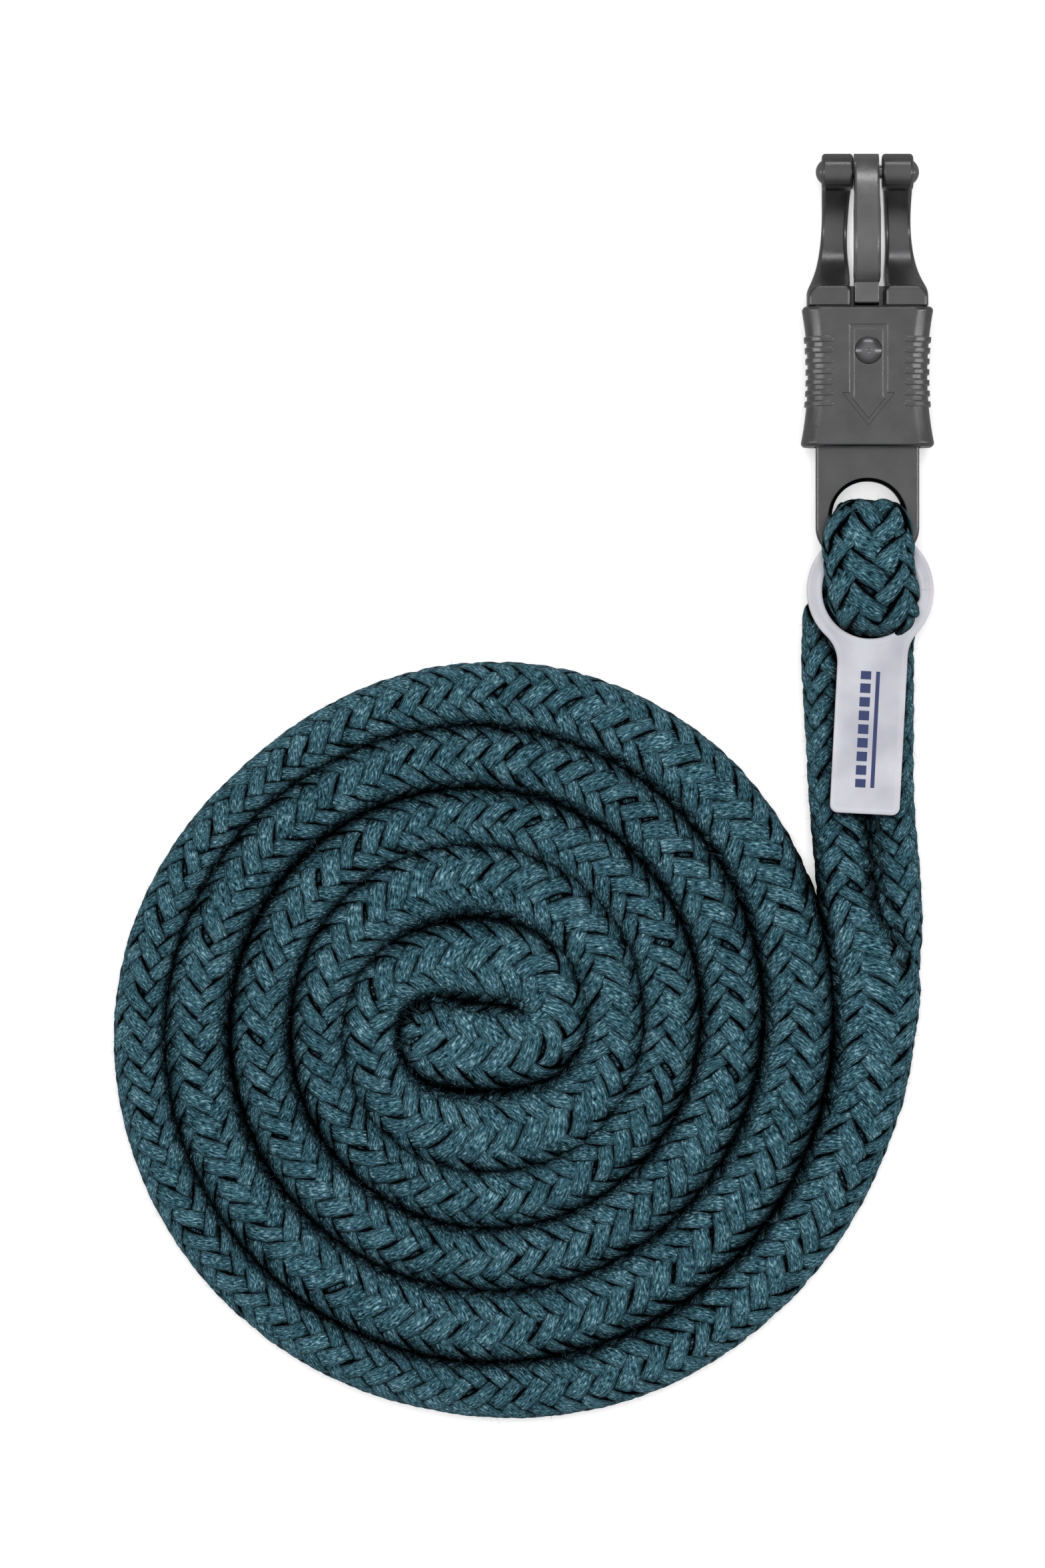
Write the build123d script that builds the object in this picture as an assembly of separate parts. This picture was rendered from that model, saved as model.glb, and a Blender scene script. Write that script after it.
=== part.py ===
from build123d import *
import os
from math import cos, exp, hypot, pi, radians, sin, tan

# A lead rope with a panic snap, lying flat in a one-layer coil. Millimetres.
# X runs across the snap, Y along it towards its hinge, Z up from the ground.
# The origin is on the ground under the middle of the snap.

# Panic snap: the fork, shank and eye are one casting
MID_Z = 11.5                  # height of the shank's middle plane
HINGE_Y = 46.0
KNUCKLE_R = 4.6
KNUCKLE_IN = 3.6
KNUCKLE_OUT = 11.4
KNUCKLE_EDGE = 0.9
PIN_R = 1.7
PIN_HEAD_R = 2.85
PIN_HEAD_T = 1.5
RUNNING_GAP = 0.05            # radial play of the pin in the finger
# Each fork arm, from its shoulder to its knuckle: (y, inner x, outer x, bottom z, top z)
ARM_SECTIONS = [
    (14.0, 4.6, 14.8, 6.0, 17.0),
    (18.5, 4.4, 14.0, 3.6, 12.6),
    (23.0, 4.5, 12.4, 1.2, 7.4),
    (28.0, 4.8, 11.5, -0.1, 5.0),
    (33.0, 4.7, 11.1, -0.1, 5.0),
    (38.0, 4.4, 11.1, 1.6, 7.4),
    (42.0, 4.0, 11.2, 4.6, 11.4),
    (46.0, 3.7, 11.2, 7.6, 15.4),
]
ARM_CORNER = 1.0
SHOULDER_TOP = 17.8
SHOULDER_END = 12.6
SHOULDER_X = 15.0
SHOULDER_HALF_T = 6.0
SHOULDER_CORNER = 3.2
SHOULDER_INNER_CORNER = 1.6
SHOULDER_EDGE = 1.3
NOSE_SLOT_X = 4.2
NOSE_SLOT_FLOOR = 7.3
NOSE_SLOT_END = 8.0
SHANK_X = 12.9
SHANK_HALF_T = 5.0
SHANK_END = -21.5
PLATE_HALF_T = 2.25
EYE_END = -50.67
EYE_CORNER = 8.0
EYE_HOLE_X = 8.9
EYE_HOLE_TOP = -31.2
EYE_BAR_TOP = -46.0
EYE_HOLE_CORNER = 4.0
EYE_ARCH_R = 8.8
SPRING_SLOT_X = 3.1
SPRING_SLOT_TOP = 3.2
SPRING_SLOT_END = -19.6

# Hinged finger, seen from the side: outer (front) and inner (back) points (y, z)
FINGER_FRONT = [(49.0, 15.0), (45.8, 17.1), (40.0, 19.5), (32.0, 21.3), (25.0, 21.2), (18.6, 18.6)]
FINGER_BACK = [(18.0, 14.4), (24.0, 16.7), (31.0, 17.0), (38.0, 15.2), (43.5, 11.0)]
FINGER_MIDDLE = -0.3           # it sits to one side of the fork
FINGER_TOP_X = 3.1
FINGER_MID_X = 3.35
FINGER_BEVEL = 0.7
NOSE_X = 3.0
NOSE_TOP = 19.6
NOSE_END = 12.7
NOSE_Z = (7.8, 16.6)

# Release sleeve
SLEEVE_TOP = 12.3
SLEEVE_END = -22.7
SLEEVE_WAIST_Y = -4.2
SLEEVE_TOP_X = 16.5
SLEEVE_WAIST_X = 14.85
SLEEVE_END_X = 16.75
SLEEVE_HALF_T = 7.75
SLEEVE_CORNER = 5.5
SLEEVE_EDGE = 1.0
BORE_X = 13.3
BORE_HALF_T = 5.35
RIB_Y = [4.0, 1.33, -1.33, -4.0, -6.67, -9.33, -12.0]
RIB_HEIGHT = 0.5
RIB_WIDTH = 1.25
RIB_IN = 8.9
RIB_ROUND = 0.6
ARROW_SHAFT_X = 4.7
ARROW_TOP = 7.7
ARROW_NECK = -9.3
ARROW_HEAD_X = 6.6
ARROW_TIP = -17.5
ARROW_LINE = 1.1
ARROW_DEPTH = 0.45
RIVET_Y = 1.2
RIVET_R = 1.6
RIVET_HEAD_R = 3.45
RIVET_DOME = 1.3

# Return spring under the sleeve
WIRE_R = 0.4
SPRING_R = 2.3
SPRING_TURNS = 8

# Rope
ROPE_D = 15.5
ROPE_R = ROPE_D / 2
COIL_X = -95.8
COIL_Y = -167.7
COIL_R0 = 97.8                # centre line radius = R0 - R1 t + R2 t², t in turns
COIL_R1 = 18.9
COIL_R2 = 0.68
COIL_SWAY = (0.9, 1.2)        # the turns lie off centre, along X and Y
COIL_DIP = 2.0                # the outermost turn is pulled in half way round
COIL_DENT = 2.0               # and has a shallow dent in its upper left
COIL_DENT_AT = 0.64
COIL_DENT_REACH = 0.07
COIL_SLACK = 1.9              # the outermost turn is broader where it is pressed flat
COIL_SLACK_AT = 0.9
COIL_OUTLINE_POINTS = 16
COIL_EDGE = 5.0
LEAD_ROUTE = [
    (-8.6, -72.0), (-8.6, -87.0), (-5.9, -109.0), (-4.7, -131.0), (1.2, -151.0), (1.2, COIL_Y),
]
TAIL_D = 13.6
TAIL_ROUTE = [(5.4, -72.0), (5.4, -88.0), (4.6, -107.0), (6.9, -131.0), (7.8, -154.0)]
SPLICE_END = -72.0
STRAP_T = 5.4                 # pressed flat where it turns over the eye's bar
STRAP_X = 8.2
STRAP_MID_X = 0.4
LOOP_EDGE = 3.0

# Tag with a ring round the rope
TAG_Z = 15.8
TAG_T = 1.7
RING_Y = -58.5
RING_X = 0.5
RING_OUT_R = 15.8
RING_IN_R = 12.0
TAG_X = 0.5
TAG_NECK = -71.7
TAG_BLEND = 9.0
TAG_END = -114.2
TAG_W = 17.4
TAG_TILT = 3.0
TAG_CORNER = 2.0
TAG_RIM = 1.0
TAG_RECESS = 0.2

# Sewing
THREAD_R = 0.5
STITCH_LENGTH = 4.2
STITCH_GAP = 1.3
LEFT_SEAM = [
    (-0.1, -114.8), (0.9, -122.3), (1.4, -132.3), (2.4, -140.3), (7.4, -146.3), (9.9, -151.3),
]
RIGHT_SEAM = [(2.4, -114.8), (3.9, -131.3), (6.4, -139.3), (8.4, -147.3)]
END_SEAM = [(6.9, -149.8), (11.4, -154.3)]


def rounded_bar(sections, corner):
    """A bar through rounded rectangles, each (y, low x, high x, low z, high z)."""
    faces = []
    for y, x0, x1, z0, z1 in sections:
        place = Plane.XZ.offset(-y) * Pos((x0 + x1) / 2, (z0 + z1) / 2)
        faces.append(place * RectangleRounded(x1 - x0, z1 - z0, corner))
    return loft(faces)


def slab(x0, x1, y0, y1, z0, z1):
    """A box between two corners."""
    return Pos((x0 + x1) / 2, (y0 + y1) / 2, (z0 + z1) / 2) * Box(x1 - x0, y1 - y0, z1 - z0)


def cross_pin(radius, x0, x1, y, z):
    """A cylinder along X."""
    return Pos((x0 + x1) / 2, y, z) * Rot(0, 90, 0) * Cylinder(radius, x1 - x0)


def upright(radius, x, y, z0, z1):
    """A cylinder along Z."""
    return Pos(x, y, (z0 + z1) / 2) * Cylinder(radius, z1 - z0)


def dome(radius, height):
    """A shallow cap standing on the XY plane."""
    ball = (radius**2 + height**2) / (2 * height)
    return Pos(0, 0, height - ball) * Sphere(ball) & Pos(0, 0, height / 2) * Box(
        2 * radius, 2 * radius, height
    )


def fork_arm():
    """The right-hand arm with its knuckle, resting flat on the ground at its lowest."""
    arm = rounded_bar(ARM_SECTIONS, ARM_CORNER)
    knuckle = cross_pin(KNUCKLE_R, KNUCKLE_IN, KNUCKLE_OUT, HINGE_Y, MID_Z)
    knuckle = fillet(knuckle.edges(), KNUCKLE_EDGE)
    return (arm + knuckle) & slab(0, 20, 0, 60, 0, 30)


def shoulder():
    """The thick end of an arm, where it joins the shank, and the slot's floor beside it."""
    low = MID_Z - SHOULDER_HALF_T
    block = slab(
        NOSE_SLOT_X, SHOULDER_X, SHOULDER_END, SHOULDER_TOP, low, MID_Z + SHOULDER_HALF_T
    )
    outer = block.edges().filter_by(Axis.Z).group_by(Axis.Y)[-1].sort_by(Axis.X)[-1]
    block = fillet(outer, SHOULDER_CORNER)
    inner = block.edges().filter_by(Axis.Z).group_by(Axis.X)[0].sort_by(Axis.Y)[-1]
    block = fillet(inner, SHOULDER_INNER_CORNER)
    front = block.faces().sort_by(Axis.Z)[-1].edges().filter_by(lambda e: e.center().Y > SHOULDER_END)
    block = fillet(front, SHOULDER_EDGE)
    return block + slab(0, NOSE_SLOT_X + 1, SHOULDER_END, SHOULDER_TOP, low, NOSE_SLOT_FLOOR)


def make_snap_body():
    """Fork arms, shoulders, shank and eye, with the pin's holes and the spring's slot."""
    arm = fork_arm() + shoulder()
    shank = slab(
        -SHANK_X, SHANK_X, SHANK_END, SHOULDER_END + 1,
        MID_Z - SHANK_HALF_T, MID_Z + SHANK_HALF_T,
    )
    plate_middle = (SHANK_END + EYE_END) / 2
    plate_length = SHANK_END - EYE_END
    outline = Pos(0, plate_middle) * Rectangle(2 * SHANK_X, plate_length)
    outline = fillet(outline.vertices().group_by(Axis.Y)[0], EYE_CORNER)
    plate = Pos(0, 0, MID_Z - PLATE_HALF_T) * extrude(outline, 2 * PLATE_HALF_T)
    plate = fillet(plate.edges().group_by(Axis.Z)[0] + plate.edges().group_by(Axis.Z)[-1], 0.8)
    body = arm + mirror(arm, Plane.YZ) + shank + plate
    nose_slot = slab(-NOSE_SLOT_X, NOSE_SLOT_X, NOSE_SLOT_END, 20, NOSE_SLOT_FLOOR, 30)
    nose_slot = fillet(nose_slot.edges().filter_by(Axis.Z), 0.8)
    body -= nose_slot
    body -= eye_hole()
    slot_middle = (SPRING_SLOT_TOP + SPRING_SLOT_END) / 2
    slot_length = SPRING_SLOT_TOP - SPRING_SLOT_END
    slot = Pos(0, slot_middle) * RectangleRounded(2 * SPRING_SLOT_X, slot_length, 0.5)
    body -= extrude(slot, 30)
    return body - cross_pin(PIN_R, -20, 20, HINGE_Y, MID_Z)


def eye_hole():
    """An arched hole for the rope, bevelled at its edge."""
    middle = (EYE_HOLE_TOP + EYE_BAR_TOP) / 2
    length = EYE_HOLE_TOP - EYE_BAR_TOP
    outline = Pos(0, middle) * Rectangle(2 * EYE_HOLE_X, length)
    outline = fillet(outline.vertices().group_by(Axis.Y)[-1], EYE_ARCH_R)
    outline = fillet(outline.vertices().group_by(Axis.Y)[0], EYE_HOLE_CORNER)
    hole = Pos(0, 0, MID_Z - 4) * extrude(outline, 8)
    bevel = Pos(0, 0, MID_Z + PLATE_HALF_T - 0.9) * extrude(outline, 2, taper=-45)
    return hole + bevel


def make_hook_finger():
    """The hinged finger: a bowed bar with bevelled sides, its eye and its locking nose."""
    side = make_face(
        [
            Plane.YZ * Spline(*FINGER_FRONT),
            Plane.YZ * Line(FINGER_FRONT[-1], FINGER_BACK[0]),
            Plane.YZ * Spline(*FINGER_BACK),
            Plane.YZ * Line(FINGER_BACK[-1], FINGER_FRONT[0]),
        ]
    )
    bar = extrude(side, FINGER_MID_X, both=True)
    front = bar.faces().filter_by(lambda f: f.center().Z > 18.5)
    long_edges = front.edges().filter_by(lambda e: abs(e.center().X) > 3)
    bar = chamfer(long_edges, FINGER_BEVEL)
    half = [(FINGER_TOP_X, 60), (FINGER_TOP_X, 40.5), (FINGER_MID_X, 36.0), (FINGER_MID_X, 19.6),
            (NOSE_X, 17.6), (NOSE_X, 0)]
    outline = Polygon(*half, *[(-x, y) for x, y in reversed(half)], align=None)
    nose = slab(-NOSE_X, NOSE_X, NOSE_END, NOSE_TOP, *NOSE_Z)
    nose = fillet(nose.edges().filter_by(Axis.X), 1.0)
    knuckle = cross_pin(KNUCKLE_R, -FINGER_TOP_X, FINGER_TOP_X, HINGE_Y, MID_Z)
    finger = ((bar + nose) & extrude(outline, 30, both=True)) + knuckle
    finger = Pos(FINGER_MIDDLE, 0, 0) * finger
    return finger - cross_pin(PIN_R + RUNNING_GAP, -20, 20, HINGE_Y, MID_Z)


def make_hinge_pin():
    """A pin across the fork, headed over at both ends."""
    pin = cross_pin(PIN_R, -KNUCKLE_OUT, KNUCKLE_OUT, HINGE_Y, MID_Z)
    head = Pos(KNUCKLE_OUT, HINGE_Y, MID_Z) * Rot(0, 90, 0) * dome(PIN_HEAD_R, PIN_HEAD_T)
    return pin + head + mirror(head, Plane.YZ)


def sleeve_shape(grow):
    """The sleeve's waisted outside, grown by an amount all round."""
    sections = []
    for y, half_x in ((SLEEVE_END, SLEEVE_END_X), (SLEEVE_WAIST_Y, SLEEVE_WAIST_X),
                      (SLEEVE_TOP, SLEEVE_TOP_X)):
        x = half_x + grow
        t = SLEEVE_HALF_T + grow
        sections.append((y, -x, x, MID_Z - t, MID_Z + t))
    return rounded_bar(sections, SLEEVE_CORNER)


def arrow_outline(inset):
    """A downward arrow, drawn inset from its outer edge."""
    slope = hypot(ARROW_HEAD_X, ARROW_NECK - ARROW_TIP)
    tip = ARROW_TIP + inset * slope / ARROW_HEAD_X
    neck = ARROW_NECK - inset
    wing = (neck - tip) * ARROW_HEAD_X / (ARROW_NECK - ARROW_TIP)
    shaft = ARROW_SHAFT_X - inset
    top = ARROW_TOP - inset
    right = [(shaft, top), (shaft, neck), (wing, neck), (0, tip)]
    left = [(-wing, neck), (-shaft, neck), (-shaft, top)]
    return Polygon(*right, *left, align=None)


def make_release_sleeve():
    """The grip that slides on the shank, ribbed at both edges, with an arrow cut in front."""
    sleeve = sleeve_shape(0)
    ends = sleeve.edges().filter_by(lambda e: abs(e.center().Y - SLEEVE_TOP) < 0.1
                                    or abs(e.center().Y - SLEEVE_END) < 0.1)
    sleeve = fillet(ends, SLEEVE_EDGE)
    ribs = sleeve_shape(RIB_HEIGHT)
    for y in RIB_Y:
        band = slab(RIB_IN, 20, y - RIB_WIDTH / 2, y + RIB_WIDTH / 2, 0, 30)
        band = fillet(band.edges().filter_by(Axis.Z), RIB_ROUND)
        sleeve += ribs & band
        sleeve += ribs & mirror(band, Plane.YZ)
    face = MID_Z + SLEEVE_HALF_T - ARROW_DEPTH
    groove = arrow_outline(0) - arrow_outline(ARROW_LINE)
    sleeve -= Pos(0, 0, face) * extrude(groove, 5, dir=(0, 0, 1))
    sleeve -= slab(-BORE_X, BORE_X, -40, 40, MID_Z - BORE_HALF_T, MID_Z + BORE_HALF_T)
    return sleeve - upright(RIVET_R, 0, RIVET_Y, 0, 30)


def make_sleeve_rivet():
    """The rivet that ties the sleeve to the slot, domed with a dimple at both faces."""
    low = MID_Z - SLEEVE_HALF_T
    high = MID_Z + SLEEVE_HALF_T
    rivet = upright(RIVET_R, 0, RIVET_Y, low, high)
    head = dome(RIVET_HEAD_R, RIVET_DOME) - Pos(0, 0, RIVET_DOME + 0.9) * Sphere(1.2)
    rivet += Pos(0, RIVET_Y, high) * head
    return rivet + Pos(0, RIVET_Y, low) * Rot(180, 0, 0) * head


def make_release_spring():
    """A coil spring in the slot, between the rivet and the slot's end."""
    top = RIVET_Y - RIVET_R - WIRE_R - 0.15
    end = SPRING_SLOT_END + WIRE_R + 0.1
    length = top - end
    coil = Helix(length / SPRING_TURNS, length, SPRING_R)
    wire = sweep(Plane(coil @ 0, z_dir=coil % 0) * Circle(WIRE_R), coil, is_frenet=True)
    return Pos(0, top, MID_Z) * Rot(90, 0, 0) * wire


def coil_radius(turns):
    """The coil's centre line radius after a number of turns from its outer end."""
    angle = 2 * pi * turns
    spiral = COIL_R0 - COIL_R1 * turns + COIL_R2 * turns**2
    dip = COIL_DIP * (1 - cos(angle)) if turns < 1 else 0
    dip += COIL_DENT * exp(-((turns - COIL_DENT_AT) / COIL_DENT_REACH) ** 2)
    return spiral - COIL_SWAY[0] * cos(angle) - COIL_SWAY[1] * sin(angle) - dip


def make_rope_coil():
    """The outer shape of the wound rope: one spiral step where the lead joins it."""
    points = []
    for k in range(COIL_OUTLINE_POINTS + 1):
        turn = k / COIL_OUTLINE_POINTS
        angle = 2 * pi * turn
        slack = COIL_SLACK * cos(angle - 2 * pi * COIL_SLACK_AT)
        radius = coil_radius(turn) + ROPE_R + slack
        points.append((COIL_X + radius * cos(angle), COIL_Y - radius * sin(angle)))
    outline = make_face([Spline(*points), Line(points[-1], points[0])])
    coil = extrude(outline, ROPE_D)
    rims = coil.edges().filter_by(lambda e: e.length > 10 * ROPE_D)
    return fillet(rims, COIL_EDGE)


def turn_radii(points):
    """The largest arc at each corner of a route: 0.45 of its shorter run."""
    radii = []
    for a, b, c in zip(points, points[1:], points[2:]):
        first = Vector(*b) - Vector(*a)
        second = Vector(*c) - Vector(*b)
        half_turn = radians(first.get_angle(second)) / 2
        radii.append(0.45 * min(first.length, second.length) / tan(half_turn))
    return radii


def tube(name, route, diameter):
    """A tube along straight runs joined by tangent arcs, lying at half its height."""
    points = [(x, y, ROPE_R) for x, y in route]
    radii = turn_radii(points)
    path = FilletPolyline(*points, radius=radii)
    section = Plane(path @ 0, z_dir=path % 0) * Circle(diameter / 2)
    solid = sweep(section, path)
    expected = pi * diameter**2 / 4 * path.length
    print(f"{name} radii {[round(r, 1) for r in radii]} length {path.length:.1f}")
    print(f"{name} volume over section times length {solid.volume / expected:.4f}")
    return solid


def make_rope_eye_loop():
    """The rope's turn through the eye and the tag's ring, pressed flat over the bar."""
    side = Plane.YZ * FilletPolyline(
        (-58.0, 4.2), (-39.7, 4.2), (-39.4, 20.6), (-54.0, 20.6), (-62.0, 10.0),
        radius=[2.9, 3.0, 5.0],
    )
    section = Plane(side @ 0, x_dir=(1, 0, 0), z_dir=side % 0) * Rectangle(2 * STRAP_X, STRAP_T)
    strap = Pos(STRAP_MID_X, 0, 0) * sweep(section, side)
    knuckle = slab(-9.6, 13.6, -52.0, -35.9, 17.9, 23.6)
    knuckle = fillet(knuckle.edges(), 2.6)
    crotch = slab(-15.8, 11.9, SPLICE_END, -52.0, 0.4, 15.2)
    crotch = fillet(crotch.edges().filter_by(Axis.Y), LOOP_EDGE)
    return strap + knuckle + crotch


def make_tag():
    """A flat plate that flows out of its own ring, with a raised rim all round."""
    ring = Pos(RING_X, RING_Y) * Circle(RING_OUT_R)
    length = RING_Y - TAG_END
    plate = Pos(TAG_X, TAG_END + length / 2) * Rot(0, 0, -TAG_TILT) * Rectangle(TAG_W, length)
    flat = ring + plate
    flat = fillet(flat.vertices().sort_by(Axis.Y)[:2], TAG_CORNER)
    neck = flat.vertices().filter_by(lambda v: abs(v.Y - TAG_NECK) < 4)
    flat = fillet(neck, TAG_BLEND)
    flat -= Pos(RING_X, RING_Y) * Circle(RING_IN_R)
    tag = Pos(0, 0, TAG_Z) * extrude(flat, TAG_T)
    tag = fillet(tag.edges().filter_by(lambda e: e.center().Z > TAG_Z + TAG_T - 0.01), 0.5)
    inside = offset(flat, -TAG_RIM)
    return tag - Pos(0, 0, TAG_Z + TAG_T - TAG_RECESS) * extrude(inside, 1)


def seam_stitches(seam):
    """Short bars end to end along one sewn line, lying on top of the two legs."""
    stitches = []
    path = Polyline(*[(x, y, 0) for x, y in seam])
    pitch = STITCH_LENGTH + STITCH_GAP
    count = int((path.length + STITCH_GAP) / pitch)
    for k in range(count):
        a = path @ (k * pitch / path.length)
        b = path @ ((k * pitch + STITCH_LENGTH) / path.length)
        start = Vector(a.X, a.Y, ROPE_D + THREAD_R)
        axis = Vector(b.X - a.X, b.Y - a.Y, 0)
        bar = Plane(start, z_dir=axis) * Pos(0, 0, axis.length / 2) * Cylinder(
            THREAD_R, axis.length
        )
        stitches.append(bar)
    return stitches


def make_splice_stitches():
    """Two sewn rows down the splice and one across its end."""
    return Compound(
        children=seam_stitches(LEFT_SEAM) + seam_stitches(RIGHT_SEAM) + seam_stitches(END_SEAM)
    )


def main():
    os.makedirs("parts", exist_ok=True)
    lead = tube("rope_lead", LEAD_ROUTE, ROPE_D)
    tail = tube("rope_tail", TAIL_ROUTE, TAIL_D)
    nodes = {
        "snap_body": make_snap_body(),
        "hook_finger": make_hook_finger(),
        "hinge_pin": make_hinge_pin(),
        "release_sleeve": make_release_sleeve(),
        "sleeve_rivet": make_sleeve_rivet(),
        "release_spring": make_release_spring(),
        "rope_coil": make_rope_coil(),
        "rope_lead": lead,
        "rope_eye_loop": make_rope_eye_loop(),
        "rope_tail": tail - lead,
        "tag": make_tag(),
        "splice_stitches": make_splice_stitches(),
    }
    for name, shape in nodes.items():
        export_step(shape, f"parts/{name}.step")


main()
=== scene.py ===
"""Looks of a lead rope with a panic snap. Metres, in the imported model's frame."""

from math import cos, exp, pi, radians, sin

import bpy
import numpy as np
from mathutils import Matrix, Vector
from mathutils.bvhtree import BVHTree


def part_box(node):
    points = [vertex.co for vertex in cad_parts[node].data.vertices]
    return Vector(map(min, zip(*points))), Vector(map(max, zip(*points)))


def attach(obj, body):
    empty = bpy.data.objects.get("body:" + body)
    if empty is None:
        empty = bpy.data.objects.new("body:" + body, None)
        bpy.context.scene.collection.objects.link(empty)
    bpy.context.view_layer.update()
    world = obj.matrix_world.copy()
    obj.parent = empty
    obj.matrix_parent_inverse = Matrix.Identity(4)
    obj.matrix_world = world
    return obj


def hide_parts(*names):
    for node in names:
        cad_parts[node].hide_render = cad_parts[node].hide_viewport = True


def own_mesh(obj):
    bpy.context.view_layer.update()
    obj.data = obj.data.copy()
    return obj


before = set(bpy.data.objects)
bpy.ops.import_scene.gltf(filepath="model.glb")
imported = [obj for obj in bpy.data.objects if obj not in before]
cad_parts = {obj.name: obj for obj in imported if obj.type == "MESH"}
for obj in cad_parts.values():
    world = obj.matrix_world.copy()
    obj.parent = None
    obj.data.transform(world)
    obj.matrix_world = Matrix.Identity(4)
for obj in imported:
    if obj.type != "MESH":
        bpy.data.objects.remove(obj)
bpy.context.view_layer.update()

MM = 0.001
SEED = 7

# Camera: straight down with a long lens, over the middle of the view
VIEW_X = -86.1 * MM
VIEW_Y = -106.7 * MM
VIEW_HEIGHT = 392.0 * MM
LENS = 200.0
SENSOR = 36.0

# Rope, in millimetres as in the CAD source
ROPE_D = 15.5
ROPE_R = ROPE_D / 2
LIE = ROPE_R + 0.3            # height of the lying rope's middle, clear of its fibres
COIL_X = -95.8
COIL_Y = -167.7
COIL_R0 = 97.8
COIL_R1 = 18.9
COIL_R2 = 0.68
COIL_SWAY = (0.9, 1.2)
COIL_DIP = 2.0
COIL_DENT = 2.0
COIL_DENT_AT = 0.64
COIL_DENT_REACH = 0.07
COIL_TURNS = 4
POINTS_PER_TURN = 16
TAIL_UP = [
    (11.0, -153.0), (9.9, -147.0), (7.6, -139.0), (6.6, -129.0), (4.8, -110.0), (5.2, -88.0),
    (5.4, -72.0),
]
EYE_TURN = [
    (4.8, -66.4, 8.4),
    (2.2, -64.0, 18.4),
    (0.6, -57.0, 21.8),
    (-0.4, -47.4, 22.0),
    (0.8, -40.2, 20.4),
    (0.6, -38.8, 10.0),
    (0.0, -39.4, 4.0),
    (-2.0, -49.0, 4.4),
    (-6.0, -60.0, 5.6),
]
LEAD_DOWN = [
    (-9.6, -73.0), (-8.6, -87.0), (-6.7, -109.0), (-5.0, -129.0), (-4.0, -139.0), (-0.2, -148.0),
    (2.6, -157.0),
]
# The innermost turn closes into a hairpin round the rope's end
INNER_END = [
    (-63.6, -176.0), (-72.0, -189.0), (-88.0, -194.0), (-106.0, -194.6), (-119.5, -187.0),
    (-125.6, -172.0), (-122.0, -156.5), (-109.0, -150.4), (-93.0, -150.4), (-81.5, -153.6),
    (-77.0, -162.0), (-79.5, -170.6), (-88.0, -172.8), (-100.0, -172.2), (-110.0, -170.2),
    (-116.5, -167.0),
]
# Half the rope's width as it lies, against turns of the coil from its outer end
TURN_WIDTHS = {
    0.0: 10.6, 0.04: 9.8, 0.12: 8.9, 0.18: 8.7, 0.27: 7.0, 0.5: 7.3, 0.63: 6.4, 0.78: 9.4,
    0.87: 10.0, 1.0: 9.4, 1.25: 10.2, 1.5: 9.1, 1.63: 8.8, 1.75: 8.9, 2.0: 8.5, 2.2: 9.1,
    2.45: 8.2, 2.65: 8.5, 2.85: 9.0, 3.0: 8.6, 3.25: 8.5, 3.5: 8.0, 3.65: 10.5, 3.85: 10.5, 4.0: 9.0,
    4.15: 11.3, 4.3: 11.2, 4.4: 9.4, 4.6: 9.3, 4.75: 11.6, 4.9: 10.6, 5.05: 10.5, 5.2: 11.7,
    5.45: 11.7,
}

# Half widths of the two legs below the eye, against Y
TAIL_WIDTHS = ([-154, -151, -146, -140, -130, -110, -80], [1.9, 2.8, 4.4, 6.3, 6.9, 6.9, 6.6])
LEAD_WIDTHS = (
    [-167, -159, -152, -146, -140, -131, -109, -80, -70],
    [11.0, 11.8, 11.8, 10.6, 8.6, 8.1, 8.1, 7.2, 7.6],
)
# The rope's turn in front of the eye swells to a knob: half widths and heights, against Y
KNOB_WIDTHS = (
    [-68, -66, -63, -60, -56, -47, -43, -40, -38],
    [6.6, 8.8, 11.2, 11.9, 11.2, 11.9, 11.4, 9.0, 6.8],
)
KNOB_HEIGHTS = ([-68, -62, -50, -41, -38], [5.2, 6.6, 6.4, 5.2, 4.4])
TAIL_HEIGHTS = ([-154, -148, -140], [2.6, 5.5, ROPE_R])
# Where the legs give way to the turn through the eye, and its half sizes in the hole and behind
LEG_TOP = -66.0
TURN_LOW = -68.5
HOLE_LOW = -45.0
HOLE_TOP_Z = 17.5
BACK_TOP_Z = 9.0
TURN_HALF_W = 8.6
HOLE_HALF_T = 3.6
BACK_HALF_T = 4.4
BLEND_LENGTH = 3.0            # a change of section is spread this far each way
END_ROUND = 5.0               # the bare end closes over this length
END_HALF = 1.9

# Tag's print, in its own turned axes: (middle), (half width, half length)
TAG_TILT = 3.0
PRINT_WIDE = ((3.6, -93.0), (1.3, 14.5))
PRINT_THIN = ((6.6, -93.0), (0.5, 14.5))
PRINT_PITCH = 3.4

# Sewing: two rows down the splice and a short one across the tail's end
SEAMS = [
    [(-0.1, -114.8), (0.9, -122.3), (1.4, -132.3), (2.4, -140.3), (7.4, -146.3), (9.9, -151.3)],
    [(2.4, -114.8), (3.9, -131.3), (6.4, -139.3), (8.4, -147.3)],
    [(6.9, -149.8), (11.4, -154.3)],
]
SEAM_DEPTH = 1.3              # how far a seam pulls the braid in, and over what width
SEAM_REACH = 1.1
SEAM_HALF_LENGTH = 30.0       # the stretch of braid that the seams can reach
SEAM_HALF_WIDTH = 16.0
SEAM_LOW = 2.0                # above the rope's middle
STITCH_LENGTH = 4.4
STITCH_GAP = 0.7
STITCH_BOW = (-0.9, -0.05, 0.15, -0.05, -0.9)
THREAD_R = 0.42
THREAD_TAPER = (0.6, 1.0, 1.05, 1.0, 0.6)
THREAD_SIDES = 6

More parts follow.
